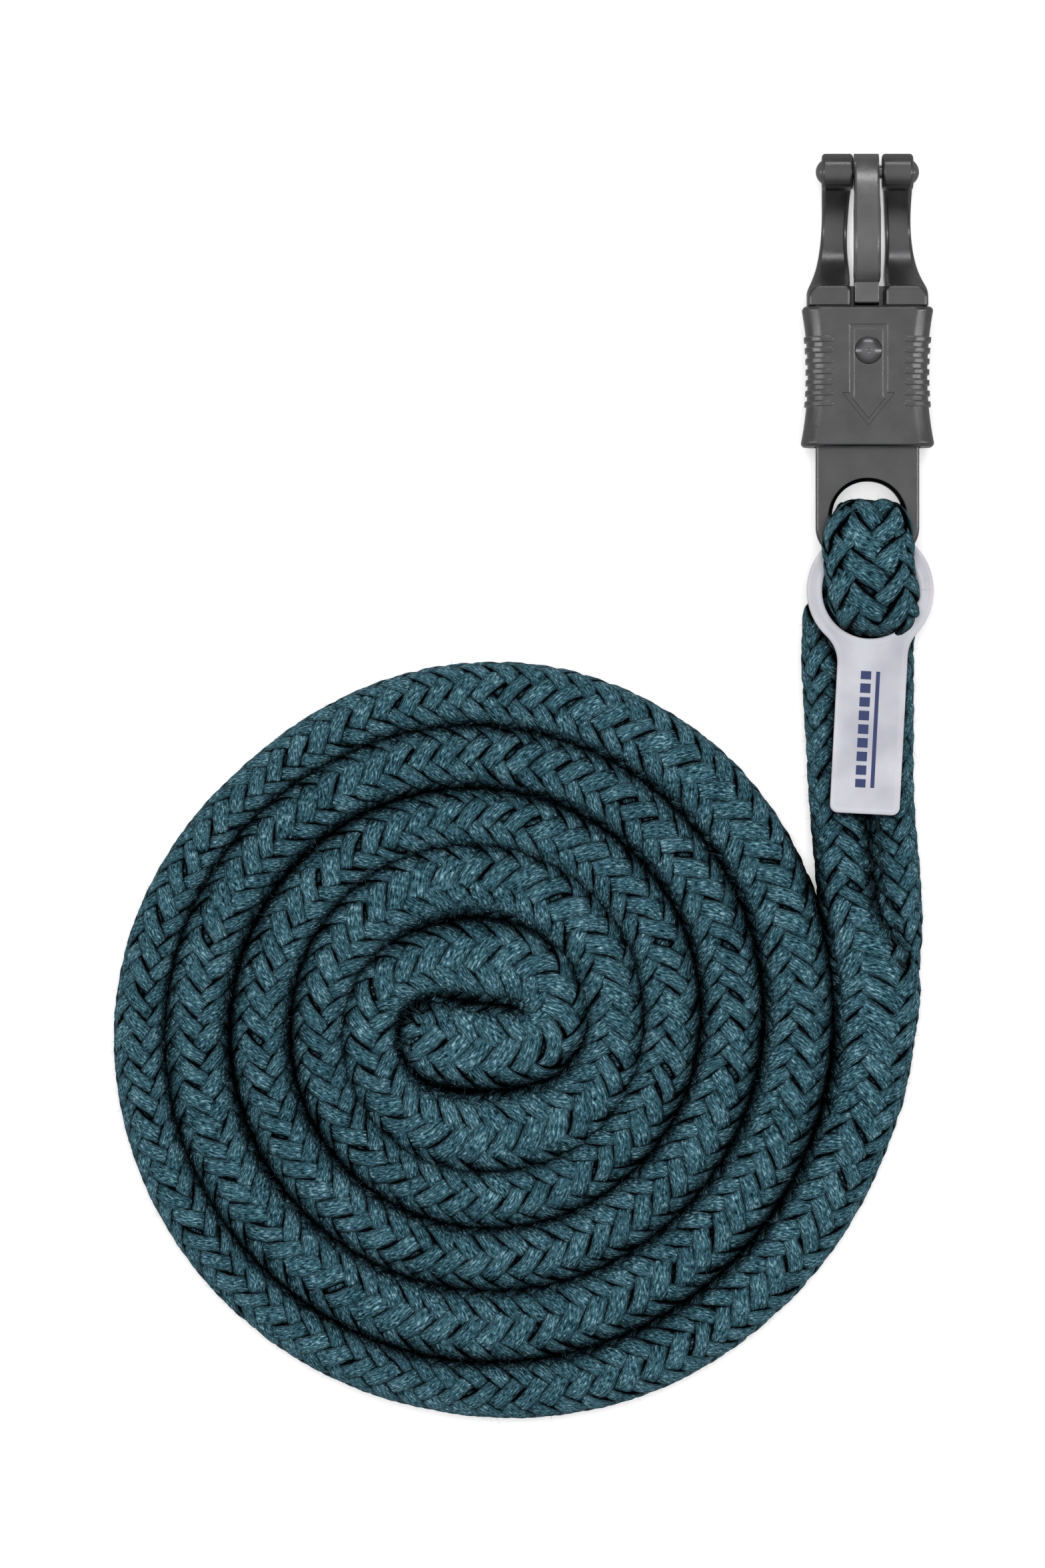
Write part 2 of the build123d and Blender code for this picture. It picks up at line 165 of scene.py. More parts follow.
# Return spring
WIRE_R = 0.4
SPRING_TURNS = 8
SPRING_STEPS = 24             # points in each turn
WIRE_TIP = 0.1                # the wire's ends close to this share of it

# Braid: sixteen flat bundles of yarn, eight each way, two over and two under
LAY = 50.0
HANDS = 8
STRAND_HALF_W = 2.35
STRAND_HALF_T = 0.7
WEAVE = 0.5
WEAVE_SHARP = 1.6             # how abruptly a bundle rises and dips
CORE_DEPTH = 0.35             # the core's surface below the bundles' dips
STRAND_SQUARE = 0.62
SPREAD = 0.85                 # how much a bundle widens with the rope's side that it lies on
ROPE_SQUARE = 0.85
DRIFT_LENGTH = 7.0            # unevenness of the lay: how far apart it changes, and how much
DRIFT_ANGLE = 0.09
DRIFT_DEPTH = 0.3
DRIFT_WIDTH = 0.14
SIDES = 10
STEP = 0.75
CORE_SIDES = 20
HAIRS = 12000
HAIR_WIDTH = 0.07
HAIR_LENGTH = (1.0, 3.2)
HAIR_LEAN = (0.1, 0.7)
HAIR_CURL = 0.35
HAIR_FLOOR = 0.3
FRAYED_HAIRS = 260            # of them, at the bare end


def material(name):
    """A new material with its node tree and its shader."""
    mat = bpy.data.materials.new(name)
    mat.use_nodes = True
    tree = mat.node_tree
    shader = tree.nodes["Principled BSDF"]
    return mat, tree, shader


def node(tree, kind, inputs=None, **settings):
    """A node with its settings, its fixed inputs and its links."""
    made = tree.nodes.new(kind)
    for key, value in settings.items():
        setattr(made, key, value)
    for key, value in (inputs or {}).items():
        if isinstance(value, bpy.types.NodeSocket):
            tree.links.new(value, made.inputs[key])
        else:
            made.inputs[key].default_value = value
    return made


def ramp(tree, factor, stops):
    """A colour ramp from (position, colour) stops."""
    made = node(tree, "ShaderNodeValToRGB", {"Fac": factor})
    elements = made.color_ramp.elements
    while len(elements) < len(stops):
        elements.new(0.5)
    for element, (position, colour) in zip(elements, stops):
        element.position = position
        element.color = (*colour, 1.0)
    return made.outputs["Color"]


def mesh_object(name, verts, faces, uvs=None):
    """A smooth mesh object, with one UV pair per face corner if given."""
    mesh = bpy.data.meshes.new(name)
    verts = np.asarray(verts, dtype=np.float32)
    faces = np.asarray(faces, dtype=np.int32)
    corners = faces.shape[1]
    mesh.vertices.add(len(verts))
    mesh.vertices.foreach_set("co", verts.ravel())
    mesh.loops.add(faces.size)
    mesh.loops.foreach_set("vertex_index", faces.ravel())
    mesh.polygons.add(len(faces))
    mesh.polygons.foreach_set("loop_start", np.arange(0, faces.size, corners, dtype=np.int32))
    mesh.update(calc_edges=True)
    if uvs is not None:
        layer = mesh.uv_layers.new(name="braid")
        layer.data.foreach_set("uv", np.asarray(uvs, dtype=np.float32).ravel())
    mesh.polygons.foreach_set("use_smooth", np.ones(len(faces), dtype=bool))
    mesh.validate()
    made = bpy.data.objects.new(name, mesh)
    bpy.context.scene.collection.objects.link(made)
    return made


# ---------------------------------------------------------------- the rope's route


def coil_points():
    """Control points of the coil's turns, set out so that the spline keeps their radius."""
    points = []
    for k in range(COIL_TURNS * POINTS_PER_TURN):
        turn = (k + 0.5) / POINTS_PER_TURN
        angle = 2 * pi * turn
        radius = COIL_R0 - COIL_R1 * turn + COIL_R2 * turn**2
        radius -= COIL_SWAY[0] * cos(angle) + COIL_SWAY[1] * sin(angle)
        radius -= COIL_DIP * (1 - cos(angle)) if turn < 1 else 0
        radius -= COIL_DENT * exp(-((turn - COIL_DENT_AT) / COIL_DENT_REACH) ** 2)
        radius /= cos(pi / POINTS_PER_TURN)
        points.append((COIL_X + radius * cos(angle), COIL_Y - radius * sin(angle)))
    return points


def route_spline():
    """The rope's line as one NURBS spline, read back as closely spaced points."""
    flat = [(x, y, LIE) for x, y in LEAD_DOWN + coil_points() + INNER_END]
    points = [(x, y, LIE) for x, y in TAIL_UP] + EYE_TURN + flat
    curve = bpy.data.curves.new("route", "CURVE")
    curve.dimensions = "3D"
    spline = curve.splines.new("NURBS")
    spline.points.add(len(points) - 1)
    for target, (x, y, z) in zip(spline.points, points):
        target.co = (x * MM, y * MM, z * MM, 1.0)
    spline.order_u = 3
    spline.use_endpoint_u = True
    spline.resolution_u = 24
    holder = bpy.data.objects.new("route", curve)
    mesh = bpy.data.meshes.new_from_object(holder)
    line = np.array([v.co for v in mesh.vertices]) / MM
    bpy.data.objects.remove(holder)
    bpy.data.meshes.remove(mesh)
    return line


def spaced(line, step):
    """The same line at an even spacing, with the distance along it."""
    lengths = np.r_[0, np.cumsum(np.linalg.norm(np.diff(line, axis=0), axis=1))]
    count = int(round(lengths[-1] / step)) + 1
    along = np.linspace(0, lengths[-1], count)
    return np.stack([np.interp(along, lengths, line[:, k]) for k in range(3)], axis=1), along


def smooth(values, width):
    """A running mean that keeps the ends."""
    padded = np.r_[np.full(width, values[0]), values, np.full(width, values[-1])]
    kernel = np.ones(2 * width + 1) / (2 * width + 1)
    return np.convolve(padded, kernel, mode="valid")


def rope_frames(line):
    """Directions along, across and out of the rope at every point."""
    along = np.gradient(line, axis=0)
    along /= np.linalg.norm(along, axis=1)[:, None]
    top = int(np.argmax(line[:, 1]))
    flat = top + int(np.argmax(line[top:, 1] < LEAD_DOWN[1][1]))
    guide = np.cross(along, (0, 0, -1.0))
    guide[:flat] = (1.0, 0, 0)
    across = guide - (guide * along).sum(1)[:, None] * along
    across /= np.linalg.norm(across, axis=1)[:, None]
    return across, np.cross(across, along)


def rope_section(line):
    """Half width and half height of the rope at every point, as pressed where it lies."""
    x, y, z = line.T
    count = len(line)
    top = int(np.argmax(y))
    index = np.arange(count)
    half_w = np.full(count, ROPE_R)
    half_t = np.full(count, ROPE_R)
    low = np.argmax((index > top) & (y < COIL_Y))
    leg = (y < LEG_TOP) & (index < low)
    tail = leg & (index < top)
    half_w[tail] = np.interp(y[tail], TAIL_WIDTHS[0], TAIL_WIDTHS[1])
    half_t[tail] = np.interp(y[tail], TAIL_HEIGHTS[0], TAIL_HEIGHTS[1])
    lead = leg & (index > top)
    half_w[lead] = np.interp(y[lead], LEAD_WIDTHS[0], LEAD_WIDTHS[1])
    eye = (y > TURN_LOW) & (index < low)
    half_w[eye] = np.interp(y[eye], KNOB_WIDTHS[0], KNOB_WIDTHS[1])
    half_t[eye] = np.interp(y[eye], KNOB_HEIGHTS[0], KNOB_HEIGHTS[1])
    hole = eye & (z < HOLE_TOP_Z) & (y > HOLE_LOW)
    half_t[hole] = HOLE_HALF_T
    back = eye & (z < BACK_TOP_Z) & (y < HOLE_LOW)
    half_t[back] = BACK_HALF_T
    half_w[hole | back] = TURN_HALF_W
    turn = np.unwrap(np.arctan2(-(y[low:] - COIL_Y), x[low:] - COIL_X)) / (2 * pi)
    half_w[low:] = np.interp(turn, list(TURN_WIDTHS), list(TURN_WIDTHS.values()))
    width = int(BLEND_LENGTH / STEP)
    close = np.sqrt(1 - np.clip(1 - (count - 1 - index) * STEP / END_ROUND, 0, 1) ** 2)
    end = END_HALF + (ROPE_R - END_HALF) * close
    half_w = np.minimum(smooth(half_w, width), np.where(close < 1, end, np.inf))
    return half_w, np.minimum(smooth(half_t, width), end)


# ---------------------------------------------------------------- the braid


def squared(values, power):
    """Sines or cosines pushed towards a rounded square's."""
    return np.sign(values) * np.abs(values) ** power


def on_rope(rope, index, angle, lift):
    """Points at an angle round the rope, a height above its mean bundle radius."""
    line, across, out, half_w, half_t = rope
    inset = STRAND_HALF_T + WEAVE - lift
    wide = (half_w[index] - inset) * squared(np.cos(angle), ROPE_SQUARE)
    high = (half_t[index] - inset) * squared(np.sin(angle), ROPE_SQUARE)
    return line[index] + across[index] * wide[:, None] + out[index] * high[:, None]


def drift(rng, along_mm, amount):
    """A slow random change along the rope, for yarn that isn't laid evenly."""
    knots = rng.normal(0, amount, int(along_mm[-1] / DRIFT_LENGTH) + 2)
    return smooth(np.interp(along_mm / DRIFT_LENGTH, np.arange(len(knots)), knots), 3)


def strand_mesh(rope, along_mm, hand, number):
    """One bundle of the braid: an oval tube that dips under every other pair it meets."""
    count = len(along_mm)
    index = np.arange(count)
    rng = np.random.default_rng([SEED, number, hand + 1])
    crossing = along_mm / (LAY / (2 * HANDS))
    angle = hand * (2 * pi * along_mm / LAY) + 2 * pi * number / HANDS
    angle += drift(rng, along_mm, DRIFT_ANGLE)
    sunk = np.abs(drift(rng, along_mm, DRIFT_DEPTH)) * np.clip(np.sin(angle), 0, 1)
    if hand > 0:
        weave = np.cos(2 * pi * (crossing + 2 * number - 0.5) / 4)
    else:
        weave = -np.cos(2 * pi * (2 * number - crossing - 0.5) / 4)
    lift = WEAVE * np.tanh(WEAVE_SHARP * weave) / np.tanh(WEAVE_SHARP) - sunk
    middle = on_rope(rope, index, angle, lift)
    outer = on_rope(rope, index, angle, lift + 0.5)
    normal = outer - middle
    normal /= np.linalg.norm(normal, axis=1)[:, None]
    heading = np.gradient(middle, axis=0)
    heading /= np.linalg.norm(heading, axis=1)[:, None]
    side = np.cross(heading, normal)
    side /= np.linalg.norm(side, axis=1)[:, None]
    normal = np.cross(side, heading)
    turn = 2 * pi * np.arange(SIDES) / SIDES
    spread = np.hypot(rope[3] * np.sin(angle), rope[4] * np.cos(angle)) / ROPE_R
    spread = spread**SPREAD * (1 + drift(rng, along_mm, DRIFT_WIDTH))
    wide = STRAND_HALF_W * spread[:, None] * squared(np.cos(turn), STRAND_SQUARE)
    sag = wide**2 / (2 * ROPE_R)
    thick = STRAND_HALF_T * squared(np.sin(turn), STRAND_SQUARE) - sag
    verts = middle[:, None] + side[:, None] * wide[..., None] + normal[:, None] * thick[..., None]
    return verts.reshape(-1, 3)


def ring_faces(count, sides):
    """Quads between rings, and the matching UVs: u round the tube, v the ring."""
    i, j = np.meshgrid(np.arange(count - 1), np.arange(sides), indexing="ij")
    i, j = i.ravel(), j.ravel()
    k = (j + 1) % sides
    faces = np.stack([i * sides + j, i * sides + k, (i + 1) * sides + k, (i + 1) * sides + j], 1)
    u0, u1 = j / sides, (j + 1) / sides
    uvs = np.stack([u0, i, u1, i, u1, i + 1.0, u0, i + 1.0], 1).reshape(-1, 2)
    return faces, uvs


def core_mesh(rope, count):
    """The filler that shows between the bundles; its material is near black as painted shade."""
    turn = 2 * pi * np.arange(CORE_SIDES) / CORE_SIDES
    rings = [on_rope(rope, np.arange(count), np.full(count, a), -WEAVE - CORE_DEPTH) for a in turn]
    return np.stack(rings, axis=1).reshape(-1, 3)


def seam_line(seam, step):
    """A seam's line from above at an even spacing, with the distance along it."""
    return spaced(np.array([(x, y, 0.0) for x, y in seam]), step)


def sewn_in(verts):
    """The braid's points, with its upper face pulled in along the seams."""
    line = np.concatenate([seam_line(seam, 0.5)[0] for seam in SEAMS])
    near = np.abs(verts[:, 1] - line[:, 1].mean()) < SEAM_HALF_LENGTH
    near &= (np.abs(verts[:, 0]) < SEAM_HALF_WIDTH) & (verts[:, 2] > LIE + SEAM_LOW)
    gap = verts[near][:, None, :2] - line[None, :, :2]
    away = np.linalg.norm(gap, axis=2).min(axis=1)
    verts[near, 2] -= SEAM_DEPTH * np.exp(-((away / SEAM_REACH) ** 2))
    return verts


def build_rope():
    """The whole rope as one braided mesh over its core."""
    line, along_mm = spaced(route_spline(), STEP)
    across, out = rope_frames(line)
    half_w, half_t = rope_section(line)
    rope = (line, across, out, half_w, half_t)
    count = len(line)
    faces, uvs = ring_faces(count, SIDES)
    verts, all_faces, all_uvs = [], [], []
    for strand in range(2 * HANDS):
        hand = 1 if strand < HANDS else -1
        offset = len(verts) * count * SIDES
        verts.append(strand_mesh(rope, along_mm, hand, strand % HANDS))
        all_faces.append(faces + offset)
        all_uvs.append(uvs * (1, STEP) + (strand, 0))
    made = mesh_object(
        "braided_rope", sewn_in(np.concatenate(verts)) * MM, np.concatenate(all_faces),
        np.concatenate(all_uvs),
    )
    core_faces, core_uvs = ring_faces(count, CORE_SIDES)
    core = mesh_object("rope_core", core_mesh(rope, count) * MM, core_faces, core_uvs)
    return made, core, build_fuzz(rope, count), line


def thread(points):
    """A sewing thread's stitch as a thin tube through a few points."""
    points = np.array(points)
    heading = points[-1] - points[0]
    side = np.cross(heading, (0, 0, 1.0))
    side /= np.linalg.norm(side)
    turn = 2 * pi * np.arange(THREAD_SIDES) / THREAD_SIDES
    ring = np.cos(turn)[:, None] * side + np.sin(turn)[:, None] * np.array((0, 0, 1.0))
    taper = THREAD_R * np.array(THREAD_TAPER)
    return (points[:, None] + taper[:, None, None] * ring[None]).reshape(-1, 3)


def build_stitches(rope_object):
    """The sewn rows: each stitch bows over the braid and dives into it at both ends."""
    braid = BVHTree.FromObject(rope_object, bpy.context.evaluated_depsgraph_get())
    verts, faces, uvs = [], [], []
    ring, ring_uvs = ring_faces(5, THREAD_SIDES)
    for seam in SEAMS:
        line, along = seam_line(seam, 0.1)
        for start in np.arange(0, along[-1] - STITCH_LENGTH, STITCH_LENGTH + STITCH_GAP):
            picks = np.searchsorted(along, start + STITCH_LENGTH * np.linspace(0, 1, 5))
            hits = [braid.ray_cast(Vector((*p[:2], 60.0)) * MM, (0, 0, -1))[0] for p in line[picks]]
            heights = np.array([hit.z / MM for hit in hits])
            level = smooth(heights, 2) + np.array(STITCH_BOW)
            faces.append(ring + 5 * THREAD_SIDES * len(verts))
            uvs.append(ring_uvs)
            verts.append(thread([(*p[:2], z) for p, z in zip(line[picks], level)]))
    return mesh_object(
        "stitch_threads", np.concatenate(verts) * MM, np.concatenate(faces), np.concatenate(uvs)
    )


def build_spring():
    """The return spring under the sleeve as a coiled wire, and its box's two corners."""
    low, high = (np.array(corner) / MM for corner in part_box("release_spring"))
    share = np.linspace(0, 1, SPRING_TURNS * SPRING_STEPS)
    angle = 2 * pi * SPRING_TURNS * share
    out = np.stack([np.cos(angle), 0 * angle, np.sin(angle)], axis=1)
    radius = (high[0] - low[0]) / 2 - WIRE_R
    line = (low + high) / 2 + radius * out
    line[:, 1] = high[1] - WIRE_R - share * (high[1] - low[1] - 2 * WIRE_R)
    heading = np.gradient(line, axis=0)
    heading /= np.linalg.norm(heading, axis=1)[:, None]
    side = np.cross(heading, out)
    turn = 2 * pi * np.arange(SIDES) / SIDES
    ring = np.cos(turn)[:, None] * out[:, None] + np.sin(turn)[:, None] * side[:, None]
    thick = np.full(len(share), WIRE_R)
    thick[[0, -1]] = WIRE_TIP * WIRE_R
    verts = line[:, None] + thick[:, None, None] * ring
    faces, uvs = ring_faces(len(share), SIDES)
    return mesh_object("return_spring", verts.reshape(-1, 3) * MM, faces, uvs), low, high


def build_fuzz(rope, count):
    """Loose fibre ends that stand off the yarn as thin flat hairs."""
    rng = np.random.default_rng(SEED)
    index = rng.integers(2, count - 2, HAIRS)
    index[:FRAYED_HAIRS] = rng.integers(count - 6, count - 2, FRAYED_HAIRS)
    angle = rng.uniform(0, 2 * pi, HAIRS)
    root = on_rope(rope, index, angle, WEAVE + 0.2)
    lift = on_rope(rope, index, angle, WEAVE + 1.2) - root
    lift[:FRAYED_HAIRS] += 3 * (rope[0][-1] - rope[0][-2]) / STEP
    length = rng.uniform(*HAIR_LENGTH, HAIRS)[:, None]
    lean = rng.normal(0, 1.0, (HAIRS, 3))
    heading = lift * rng.uniform(*HAIR_LEAN, (HAIRS, 1)) + lean
    heading /= np.linalg.norm(heading, axis=1)[:, None]
    bend = rng.normal(0, HAIR_CURL, (HAIRS, 3))
    side = np.cross(heading, rng.normal(0, 1.0, (HAIRS, 3)))
    side *= HAIR_WIDTH / 2 / np.linalg.norm(side, axis=1)[:, None]
    rings = []
    for t in (0.0, 0.5, 1.0):
        spine = root + length * (heading * t + bend * t**2)
        spine[:, 2] = np.maximum(spine[:, 2], HAIR_FLOOR)
        rings += [spine - side * (1 - 0.8 * t), spine + side * (1 - 0.8 * t)]
    verts = np.stack(rings, axis=1).reshape(-1, 3)
    first = 6 * np.arange(HAIRS)[:, None, None]
    faces = (first + [[0, 1, 3, 2], [2, 3, 5, 4]]).reshape(-1, 4)
    return mesh_object("rope_fuzz", verts * MM, faces)


# ---------------------------------------------------------------- materials


def shade(tree, colour, amount):
    """A colour scaled by a number."""
    return node(
        tree, "ShaderNodeVectorMath", {0: colour, "Scale": amount}, operation="SCALE"
    ).outputs["Vector"]


def math(tree, operation, *values):
    """One sum of numbers or sockets."""
    return node(tree, "ShaderNodeMath", dict(enumerate(values)), operation=operation).outputs[0]


def noise(tree, vector, scale, detail, **inputs):
    """A noise texture's value, at a scale in cells per unit of its vector."""
    wanted = {"Vector": vector, "Scale": scale, "Detail": detail, **inputs}
    return node(tree, "ShaderNodeTexNoise", wanted).outputs["Fac"]


def rope_material():
    """Petrol yarn bundles: short fibres along them, with painted shade at their edges and, from
    ambient occlusion, where they dip.
    """
    mat, tree, shader = material("petrol_braid")
    uv = node(tree, "ShaderNodeUVMap", uv_map="braid").outputs["UV"]
    split = node(tree, "ShaderNodeSeparateXYZ", {"Vector": uv})
    grain = node(
        tree, "ShaderNodeMapping", {"Vector": uv, "Scale": (56.0, 1.1, 1.0)}
    ).outputs["Vector"]
    fibres = noise(tree, grain, 1.0, 3.0, Roughness=0.65)
    patches = noise(tree, uv, 0.3, 2.0)
    tone = math(tree, "MULTIPLY_ADD", patches, 0.2, math(tree, "MULTIPLY", fibres, 0.8))
    colour = ramp(
        tree, tone,
        [(0.35, (0.0, 0.003, 0.005)), (0.44, (0.019, 0.06, 0.08)),
         (0.55, (0.055, 0.142, 0.182)), (0.67, (0.26, 0.43, 0.5))],
    )
    # painted shade: each bundle's colour darkens towards its two edges, made ragged by the fibre
    # noise
    turn = math(tree, "MULTIPLY", split.outputs["X"], 2 * pi)
    crown = math(tree, "SMOOTH_MIN", math(tree, "ABSOLUTE", math(tree, "SINE", turn)), 0.8, 0.25)
    edge_shade_jitter = math(tree, "MULTIPLY_ADD", fibres, 1.1, -1.27)
    edge = math(tree, "MAXIMUM", math(tree, "MULTIPLY_ADD", crown, 2.15, edge_shade_jitter), 0.02)
    # painted shade: ambient occlusion, raised to a ragged power, darkens the colour in the hollows
    # between bundles and between turns
    hollow = node(tree, "ShaderNodeAmbientOcclusion", {"Distance": 0.008}, samples=6).outputs["AO"]
    ragged = math(tree, "MULTIPLY_ADD", fibres, -18.0, 14.6)
    painted_hollow_shade = math(tree, "POWER", hollow, math(tree, "MAXIMUM", ragged, 1.6))
    bump = node(tree, "ShaderNodeBump", {"Height": fibres, "Strength": 0.9, "Distance": 0.0005})
    tree.links.new(shade(tree, shade(tree, colour, edge), painted_hollow_shade), shader.inputs["Base Color"])
    tree.links.new(bump.outputs["Normal"], shader.inputs["Normal"])
    shader.inputs["Roughness"].default_value = 0.7
    shader.inputs["Specular IOR Level"].default_value = 0.06
    return mat


def fuzz_material():
    """Single fibres, a little lighter than the yarn."""
    mat, tree, shader = material("loose_fibre")
    place = node(tree, "ShaderNodeNewGeometry").outputs["Position"]
    colour = ramp(
        tree, noise(tree, place, 700.0, 1.0),
        [(0.35, (0.01, 0.03, 0.04)), (0.7, (0.09, 0.17, 0.2))],
    )
    tree.links.new(colour, shader.inputs["Base Color"])
    shader.inputs["Roughness"].default_value = 0.6
    shader.inputs["Specular IOR Level"].default_value = 0.15
    return mat


def core_material():
    """The filler between the bundles, coloured near black as painted shade in the gaps."""
    mat, tree, shader = material("painted_shade_core")
    grain = node(tree, "ShaderNodeTexNoise", {"Scale": 900.0, "Detail": 2.0}).outputs["Fac"]
    # painted shade: the filler is near black to stand for the shade in the gaps between bundles
    colour = ramp(tree, grain, [(0.3, (0.0008, 0.003, 0.004)), (0.7, (0.004, 0.013, 0.018))])
    tree.links.new(colour, shader.inputs["Base Color"])
    shader.inputs["Roughness"].default_value = 0.95
    shader.inputs["Specular IOR Level"].default_value = 0.05
    return mat


def thread_material():
    """Waxed twisted thread, almost black."""
    mat, tree, shader = material("sewing_thread")
    uv = node(tree, "ShaderNodeUVMap", uv_map="braid").outputs["UV"]
    twist = node(
        tree, "ShaderNodeMapping", {"Vector": uv, "Rotation": (0, 0, 0.6), "Scale": (3.0, 1.0, 1.0)}
    ).outputs["Vector"]
    plies = node(tree, "ShaderNodeTexWave", {"Vector": twist, "Scale": 1.2, "Distortion": 0.6})
    colour = ramp(
        tree, plies.outputs["Fac"], [(0.2, (0.0006, 0.002, 0.003)), (0.9, (0.008, 0.022, 0.03))]
    )
    bump = node(
        tree, "ShaderNodeBump", {"Height": plies.outputs["Fac"], "Strength": 0.5, "Distance": 0.0002}
    )
    tree.links.new(colour, shader.inputs["Base Color"])
    tree.links.new(bump.outputs["Normal"], shader.inputs["Normal"])
    shader.inputs["Roughness"].default_value = 0.5
    return mat


def bevel_and_edge_highlight(tree, radius):
    """A rounded normal at every edge, and how far it turns from the face's own, which masks painted
    edge highlights.
    """
    rounded = node(tree, "ShaderNodeBevel", {"Radius": radius}, samples=6).outputs["Normal"]
    own = node(tree, "ShaderNodeNewGeometry").outputs["Normal"]
    same = node(
        tree, "ShaderNodeVectorMath", {0: rounded, 1: own}, operation="DOT_PRODUCT"
    ).outputs["Value"]
    turned = node(tree, "ShaderNodeMapRange", {"Value": same, "From Min": 0.995, "From Max": 0.8})
    return rounded, turned.outputs["Result"]


def metal_material(name, body, highlight_colour, roughness):
    """Plated metal: faint casting grain, soft cloudy roughness, edges painted brighter as
    highlights.
    """
    mat, tree, shader = material(name)
    place = node(tree, "ShaderNodeTexCoord").outputs["Object"]
    rounded, highlight_mask = bevel_and_edge_highlight(tree, 0.00045)
    clouds = noise(tree, place, 160.0, 3.0)
    grain = noise(tree, place, 2600.0, 2.0)
    tone = ramp(
        tree, clouds, [(0.3, tuple(0.88 * c for c in body)), (0.7, tuple(1.1 * c for c in body))]
    )
    # painted highlight: the colour turns brighter where the rounded normal turns at an edge
    colour = node(
        tree, "ShaderNodeMix", {"Factor": highlight_mask, "A": tone, "B": (*highlight_colour, 1)}, data_type="RGBA"
    )
    gloss = node(
        tree, "ShaderNodeMapRange",
        {"Value": clouds, "From Min": 0.3, "From Max": 0.7, "To Min": roughness - 0.05,
         "To Max": roughness + 0.06},
    ).outputs["Result"]
    bump = node(
        tree, "ShaderNodeBump",
        {"Height": grain, "Strength": 0.12, "Distance": 0.00006, "Normal": rounded},
    )
    tree.links.new(colour.outputs["Result"], shader.inputs["Base Color"])
    tree.links.new(gloss, shader.inputs["Roughness"])
    tree.links.new(bump.outputs["Normal"], shader.inputs["Normal"])
    shader.inputs["Metallic"].default_value = 1.0
    return mat


def bar_mask(tree, across, along, middle, half):
    """One where a point lies within a printed bar."""
    inside = math(tree, "COMPARE", across, middle[0] * MM, half[0] * MM)
    return math(tree, "MULTIPLY", inside, math(tree, "COMPARE", along, middle[1] * MM, half[1] * MM))


def tag_material():
    """Milky plastic with a painted highlight along its rounded rim, printed with plain navy bars."""
    mat, tree, shader = material("milky_plastic")
    place = node(tree, "ShaderNodeTexCoord").outputs["Object"]
    turned = node(
        tree, "ShaderNodeMapping", {"Vector": place, "Rotation": (0, 0, radians(TAG_TILT))}
    ).outputs["Vector"]
    split = node(tree, "ShaderNodeSeparateXYZ", {"Vector": turned})
    across, along = split.outputs["X"], split.outputs["Y"]
    rounded, rim = bevel_and_edge_highlight(tree, 0.0012)
    clouds = noise(tree, place, 90.0, 2.0)
    milk = ramp(tree, clouds, [(0.3, (0.44, 0.44, 0.5)), (0.7, (0.58, 0.58, 0.63))])
    # painted highlight: the milky colour turns near white along the rounded rim
    pale = node(
        tree, "ShaderNodeMix", {"Factor": rim, "A": milk, "B": (0.9, 0.9, 0.93, 1)}, data_type="RGBA"
    ).outputs["Result"]
    wide = bar_mask(tree, across, along, PRINT_WIDE[0], PRINT_WIDE[1])
    thin = bar_mask(tree, across, along, PRINT_THIN[0], PRINT_THIN[1])
    step = math(tree, "FRACT", math(tree, "DIVIDE", along, PRINT_PITCH * MM))
    gaps = math(tree, "GREATER_THAN", step, 0.3)
    printed = math(tree, "MAXIMUM", math(tree, "MULTIPLY", wide, gaps), thin)
    colour = node(
        tree, "ShaderNodeMix", {"Factor": printed, "A": pale, "B": (0.03, 0.045, 0.13, 1)},
        data_type="RGBA",
    )
    bump = node(
        tree, "ShaderNodeBump",
        {"Height": clouds, "Strength": 0.2, "Distance": 0.0004, "Normal": rounded},
    )
    tree.links.new(colour.outputs["Result"], shader.inputs["Base Color"])
    tree.links.new(bump.outputs["Normal"], shader.inputs["Normal"])
    shader.inputs["Roughness"].default_value = 0.3
    shader.inputs["Subsurface Weight"].default_value = 0.35
    shader.inputs["Subsurface Scale"].default_value = 0.002
    shader.inputs["Coat Weight"].default_value = 0.25
    return mat


# ---------------------------------------------------------------- stage


def add_camera():
    """A long lens straight above the part, with the snap's hinge at the top."""
    data = bpy.data.cameras.new("camera")
    data.lens = LENS
    data.sensor_width = SENSOR
    camera = bpy.data.objects.new("camera", data)
    camera.location = (VIEW_X, VIEW_Y, VIEW_HEIGHT * LENS / SENSOR + ROPE_R * MM)
    bpy.context.scene.collection.objects.link(camera)
    bpy.context.scene.camera = camera


def area_light(name, place, size, power, glossy, target=(VIEW_X, VIEW_Y, 0)):
    """A rectangular soft light aimed at a point, seen in reflections or not."""
    data = bpy.data.lights.new(name, "AREA")
    data.shape = "RECTANGLE"
    data.size, data.size_y = size
    data.energy = power
    light = bpy.data.objects.new(name, data)
    light.location = place
    light.visible_glossy = glossy
    aim = Vector(target) - Vector(place)
    light.rotation_euler = aim.to_track_quat("-Z", "Y").to_euler()
    bpy.context.scene.collection.objects.link(light)


def add_world():
    """A dim surround with a bright band, which the metal's rounded edges pick up."""
    world = bpy.data.worlds.new("studio")
    world.use_nodes = True
    tree = world.node_tree
    direction = node(tree, "ShaderNodeTexCoord").outputs["Generated"]
    height = node(tree, "ShaderNodeSeparateXYZ", {"Vector": direction}).outputs["Z"]
    bands = [(0.0, 0.3), (0.25, 0.16), (0.5, 0.16), (0.75, 0.36), (0.92, 0.46), (1.0, 0.48)]
    colour = ramp(tree, height, [(stop, (grey, grey, grey)) for stop, grey in bands])
    tree.links.new(colour, tree.nodes["Background"].inputs["Color"])
    bpy.context.scene.world = world


